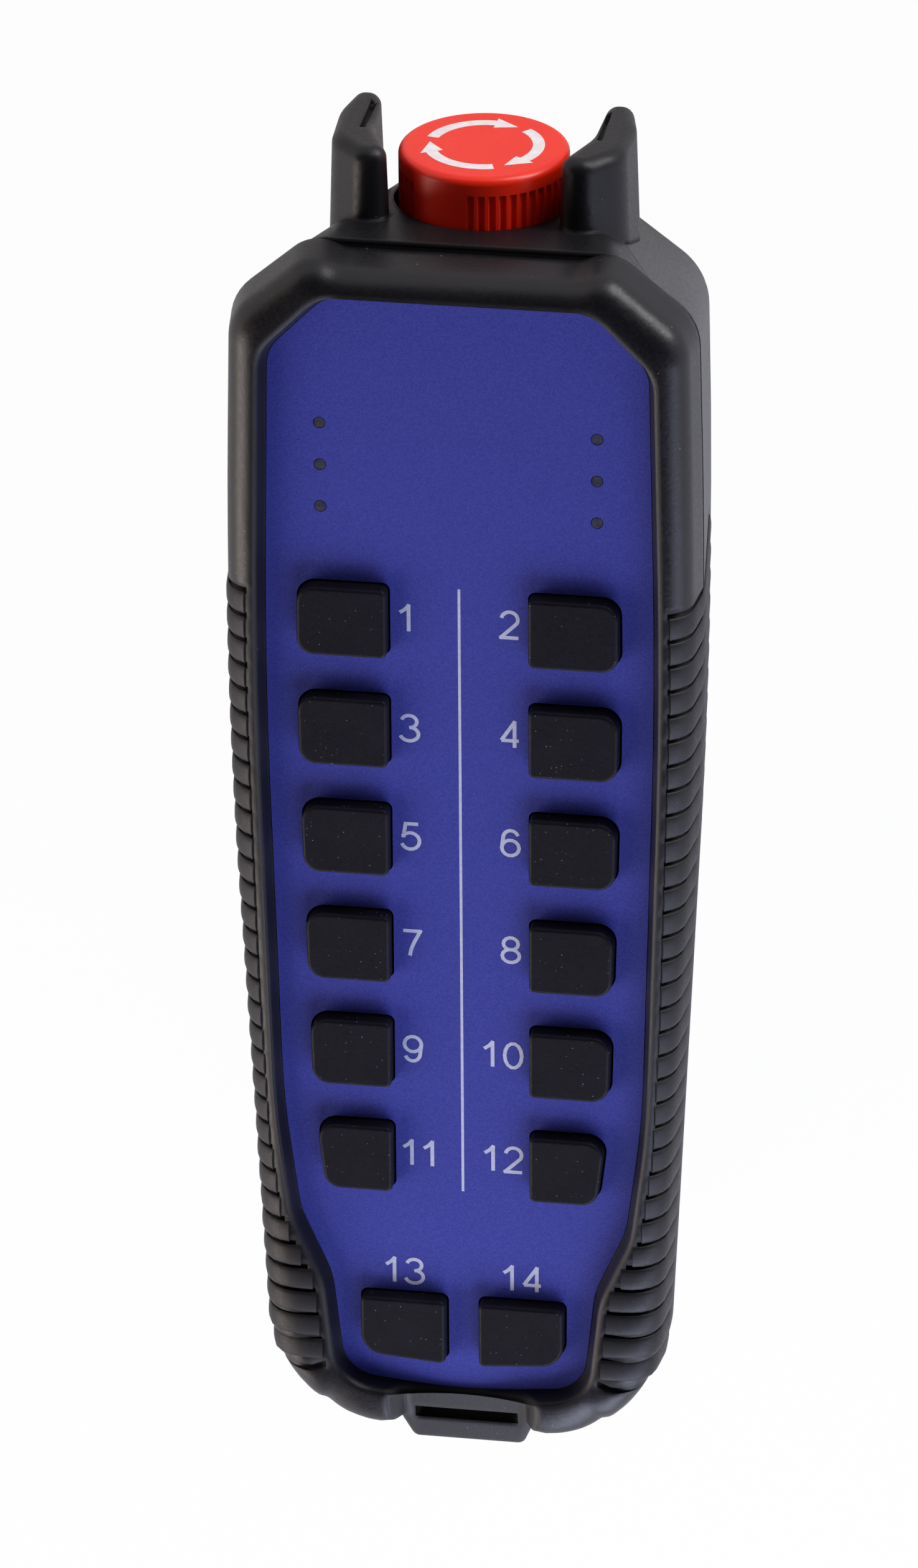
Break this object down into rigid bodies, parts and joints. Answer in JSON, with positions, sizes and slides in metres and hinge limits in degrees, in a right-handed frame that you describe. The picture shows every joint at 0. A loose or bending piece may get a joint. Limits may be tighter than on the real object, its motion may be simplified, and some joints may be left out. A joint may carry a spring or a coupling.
{
  "type": "handheld radio remote control",
  "caption": "Handheld radio remote with a ribbed two-part housing, numbered rubber keys on a recessed film and a guarded red stop button at its end.",
  "frame": {"origin": "on the back, in the middle of the overall length and width", "axes": "+X across to the even-numbered keys, +Y along to the stop button, +Z out of the key panel"},
  "size_m": [0.0722, 0.217, 0.056],
  "materials": {
    "cover_plastic": "moulded, fine satin grain",
    "guard_plastic": "moulded, fine satin grain",
    "gasket_rubber": "matt",
    "key_rubber": "matt silicone",
    "film": "printed polyester film, satin",
    "light_guide": "smoked clear plastic",
    "led_plastic": "clear resin",
    "board": "green solder resist",
    "dome_steel": "bright",
    "shield_steel": "tinned",
    "screw_steel": "zinc plated",
    "contact_steel": "nickel plated",
    "spring_steel": "oiled",
    "aerial_brass": "bare",
    "cell": "sleeved",
    "bush_plastic": "moulded",
    "block_plastic": "moulded",
    "shaft_plastic": "moulded",
    "stop_red": "moulded, satin"
  },
  "bodies": {
    "housing": {"front_cover": "cover_plastic", "rear_cover": "cover_plastic", "stop_guard": "guard_plastic", "case_gasket": "gasket_rubber", "case_screws": "screw_steel", "panel_film": "film", "key_seal": "key_rubber", "key_domes": "dome_steel", "light_guides": "light_guide", "status_leds": "led_plastic", "circuit_board": "board", "board_screws": "screw_steel", "radio_module": "shield_steel", "aerial": "aerial_brass", "battery_lid": "cover_plastic", "battery_lid_screws": "screw_steel", "battery_lid_seal": "gasket_rubber", "battery_cells": "cell", "battery_contacts": "contact_steel", "stop_bush": "bush_plastic", "stop_gasket": "gasket_rubber", "stop_nut": "bush_plastic", "stop_contact_block": "block_plastic", "stop_spring": "spring_steel"},
    "stop_plunger": {"stop_shaft": "shaft_plastic"},
    "stop_head": {"stop_head": "stop_red"},
    "button_1": {"button_1": "key_rubber"},
    "button_2": {"button_2": "key_rubber"},
    "button_3": {"button_3": "key_rubber"},
    "button_4": {"button_4": "key_rubber"},
    "button_5": {"button_5": "key_rubber"},
    "button_6": {"button_6": "key_rubber"},
    "button_7": {"button_7": "key_rubber"},
    "button_8": {"button_8": "key_rubber"},
    "button_9": {"button_9": "key_rubber"},
    "button_10": {"button_10": "key_rubber"},
    "button_11": {"button_11": "key_rubber"},
    "button_12": {"button_12": "key_rubber"},
    "button_13": {"button_13": "key_rubber"},
    "button_14": {"button_14": "key_rubber"}
  },
  "joints": [
    {"name": "stop_press", "type": "slide", "parent": "housing", "child": "stop_plunger", "axis": [0, -1, 0], "range_m": [0, 0.004], "stiffness_N_per_m": 1800, "deforming": ["stop_spring"]},
    {"name": "stop_twist", "type": "hinge", "parent": "stop_plunger", "child": "stop_head", "pos_m": [0, 0.1002, 0.026], "axis": [0, -1, 0], "range_deg": [0, 45], "stiffness_Nm_per_rad": 0.05},
    {"name": "button_1_press", "type": "slide", "parent": "housing", "child": "button_1", "axis": [0, 0, -1], "range_m": [0, 0.0012], "stiffness_N_per_m": 1500},
    {"name": "button_2_press", "type": "slide", "parent": "housing", "child": "button_2", "axis": [0, 0, -1], "range_m": [0, 0.0012], "stiffness_N_per_m": 1500},
    {"name": "button_3_press", "type": "slide", "parent": "housing", "child": "button_3", "axis": [0, 0, -1], "range_m": [0, 0.0012], "stiffness_N_per_m": 1500},
    {"name": "button_4_press", "type": "slide", "parent": "housing", "child": "button_4", "axis": [0, 0, -1], "range_m": [0, 0.0012], "stiffness_N_per_m": 1500},
    {"name": "button_5_press", "type": "slide", "parent": "housing", "child": "button_5", "axis": [0, 0, -1], "range_m": [0, 0.0012], "stiffness_N_per_m": 1500},
    {"name": "button_6_press", "type": "slide", "parent": "housing", "child": "button_6", "axis": [0, 0, -1], "range_m": [0, 0.0012], "stiffness_N_per_m": 1500},
    {"name": "button_7_press", "type": "slide", "parent": "housing", "child": "button_7", "axis": [0, 0, -1], "range_m": [0, 0.0012], "stiffness_N_per_m": 1500},
    {"name": "button_8_press", "type": "slide", "parent": "housing", "child": "button_8", "axis": [0, 0, -1], "range_m": [0, 0.0012], "stiffness_N_per_m": 1500},
    {"name": "button_9_press", "type": "slide", "parent": "housing", "child": "button_9", "axis": [0, 0, -1], "range_m": [0, 0.0012], "stiffness_N_per_m": 1500},
    {"name": "button_10_press", "type": "slide", "parent": "housing", "child": "button_10", "axis": [0, 0, -1], "range_m": [0, 0.0012], "stiffness_N_per_m": 1500},
    {"name": "button_11_press", "type": "slide", "parent": "housing", "child": "button_11", "axis": [0, 0, -1], "range_m": [0, 0.0012], "stiffness_N_per_m": 1500},
    {"name": "button_12_press", "type": "slide", "parent": "housing", "child": "button_12", "axis": [0, 0, -1], "range_m": [0, 0.0012], "stiffness_N_per_m": 1500},
    {"name": "button_13_press", "type": "slide", "parent": "housing", "child": "button_13", "axis": [0, 0, -1], "range_m": [0, 0.0012], "stiffness_N_per_m": 1500},
    {"name": "button_14_press", "type": "slide", "parent": "housing", "child": "button_14", "axis": [0, 0, -1], "range_m": [0, 0.0012], "stiffness_N_per_m": 1500}
  ]
}
